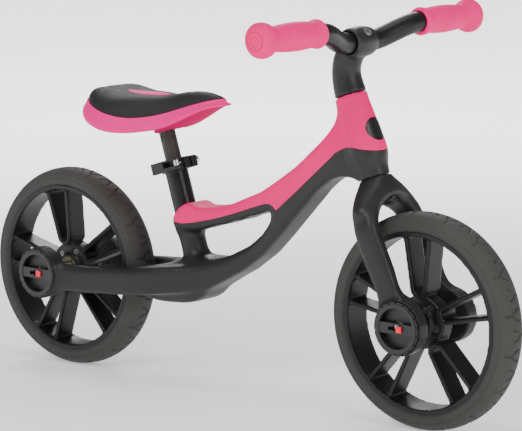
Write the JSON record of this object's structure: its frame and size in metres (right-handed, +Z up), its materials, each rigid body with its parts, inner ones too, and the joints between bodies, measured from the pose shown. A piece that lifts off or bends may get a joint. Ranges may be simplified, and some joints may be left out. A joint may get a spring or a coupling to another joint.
{
  "type": "balance bike",
  "caption": "Toddler balance bike with a low step-through frame, steering fork, spoked foam-tyre wheels and a height-adjustable saddle.",
  "frame": {"origin": "on the ground under the middle of the bike, midway between the two wheel axles", "axes": "+X forward, +Y to the rider's left, +Z up"},
  "size_m": [0.696, 0.354, 0.4119],
  "materials": {
    "charcoal_plastic": "satin moulded plastic",
    "pink_plastic": "satin moulded plastic",
    "light_pink_plastic": "satin moulded plastic",
    "badge_plastic": "matte",
    "bush_plastic": "plain",
    "black_plastic": "fine texture",
    "black_steel": "semi gloss powder coat",
    "zinc_steel": "zinc plated",
    "grip_rubber": "matte, textured",
    "saddle_foam": "grained soft cover",
    "foam_tyre": "matte foam",
    "wheel_plastic": "satin moulded plastic",
    "bearing_steel": "passivated",
    "dial_plastic": "fine texture",
    "red_plastic": "gloss"
  },
  "bodies": {
    "frame": {"main_frame": "charcoal_plastic", "top_cover": "pink_plastic", "nose_badge": "badge_plastic", "upper_bush": "bush_plastic", "lower_bush": "bush_plastic", "seat_tube": "black_steel", "tube_bush": "black_plastic", "clamp_collar": "black_plastic", "clamp_bolt": "zinc_steel", "clamp_nut": "zinc_steel", "rear_axle": "zinc_steel", "rear_spacers": "zinc_steel", "rear_clips": "zinc_steel", "rear_right_lock_ring": "dial_plastic", "rear_left_lock_ring": "dial_plastic"},
    "steering": {"fork": "charcoal_plastic", "steerer_tube": "zinc_steel", "stem": "charcoal_plastic", "stem_bolt": "zinc_steel", "handlebar": "black_steel", "right_grip": "grip_rubber", "left_grip": "grip_rubber", "front_axle": "zinc_steel", "front_spacers": "zinc_steel", "front_clips": "zinc_steel", "front_right_lock_ring": "dial_plastic", "front_left_lock_ring": "dial_plastic"},
    "front_wheel": {"front_tyre": "foam_tyre", "front_rim": "wheel_plastic", "front_bearings": "bearing_steel", "front_hub_screws": "zinc_steel"},
    "rear_wheel": {"rear_tyre": "foam_tyre", "rear_rim": "wheel_plastic", "rear_bearings": "bearing_steel", "rear_hub_screws": "zinc_steel"},
    "seat": {"seat_post": "black_plastic", "saddle_shell": "light_pink_plastic", "saddle_pad": "saddle_foam", "saddle_inlay": "light_pink_plastic", "saddle_screws": "zinc_steel"},
    "lever": {"clamp_lever": "black_plastic"},
    "front_right_dial": {"front_right_dial": "dial_plastic"},
    "front_right_button": {"front_right_button": "red_plastic"},
    "front_left_dial": {"front_left_dial": "dial_plastic"},
    "front_left_button": {"front_left_button": "red_plastic"},
    "rear_right_dial": {"rear_right_dial": "dial_plastic"},
    "rear_right_button": {"rear_right_button": "red_plastic"},
    "rear_left_dial": {"rear_left_dial": "dial_plastic"},
    "rear_left_button": {"rear_left_button": "red_plastic"}
  },
  "joints": [
    {"name": "steering_turn", "type": "hinge", "parent": "frame", "child": "steering", "pos_m": [0.17437, 0, 0.24908], "axis": [-0.3576, 0, 0.9339], "range_deg": [-45, 45]},
    {"name": "front_wheel_spin", "type": "hinge", "parent": "steering", "child": "front_wheel", "pos_m": [0.239, 0, 0.109], "axis": [0, 1, 0], "continuous": true},
    {"name": "rear_wheel_spin", "type": "hinge", "parent": "frame", "child": "rear_wheel", "pos_m": [-0.239, 0, 0.109], "axis": [0, 1, 0], "continuous": true},
    {"name": "seat_height", "type": "slide", "parent": "frame", "child": "seat", "axis": [-0.304, 0, 0.9527], "range_m": [-0.006, 0.04]},
    {"name": "clamp_lever_open", "type": "hinge", "parent": "frame", "child": "lever", "pos_m": [-0.07419, -0.017, 0.23975], "axis": [-0.304, 0, 0.9527], "range_deg": [0, 120]},
    {"name": "front_right_dial_turn", "type": "hinge", "parent": "steering", "child": "front_right_dial", "pos_m": [0.239, -0.0494, 0.109], "axis": [0, 1, 0], "range_deg": [0, 90]},
    {"name": "front_right_button_slide", "type": "slide", "parent": "front_right_dial", "child": "front_right_button", "axis": [1, 0, 0], "range_m": [-0.008, 0]},
    {"name": "front_left_dial_turn", "type": "hinge", "parent": "steering", "child": "front_left_dial", "pos_m": [0.239, 0.0494, 0.109], "axis": [0, 1, 0], "range_deg": [0, 90]},
    {"name": "front_left_button_slide", "type": "slide", "parent": "front_left_dial", "child": "front_left_button", "axis": [1, 0, 0], "range_m": [-0.008, 0]},
    {"name": "rear_right_dial_turn", "type": "hinge", "parent": "frame", "child": "rear_right_dial", "pos_m": [-0.239, -0.0624, 0.109], "axis": [0, 1, 0], "range_deg": [0, 90]},
    {"name": "rear_right_button_slide", "type": "slide", "parent": "rear_right_dial", "child": "rear_right_button", "axis": [1, 0, 0], "range_m": [-0.008, 0]},
    {"name": "rear_left_dial_turn", "type": "hinge", "parent": "frame", "child": "rear_left_dial", "pos_m": [-0.239, 0.0624, 0.109], "axis": [0, 1, 0], "range_deg": [0, 90]},
    {"name": "rear_left_button_slide", "type": "slide", "parent": "rear_left_dial", "child": "rear_left_button", "axis": [1, 0, 0], "range_m": [-0.008, 0]}
  ]
}
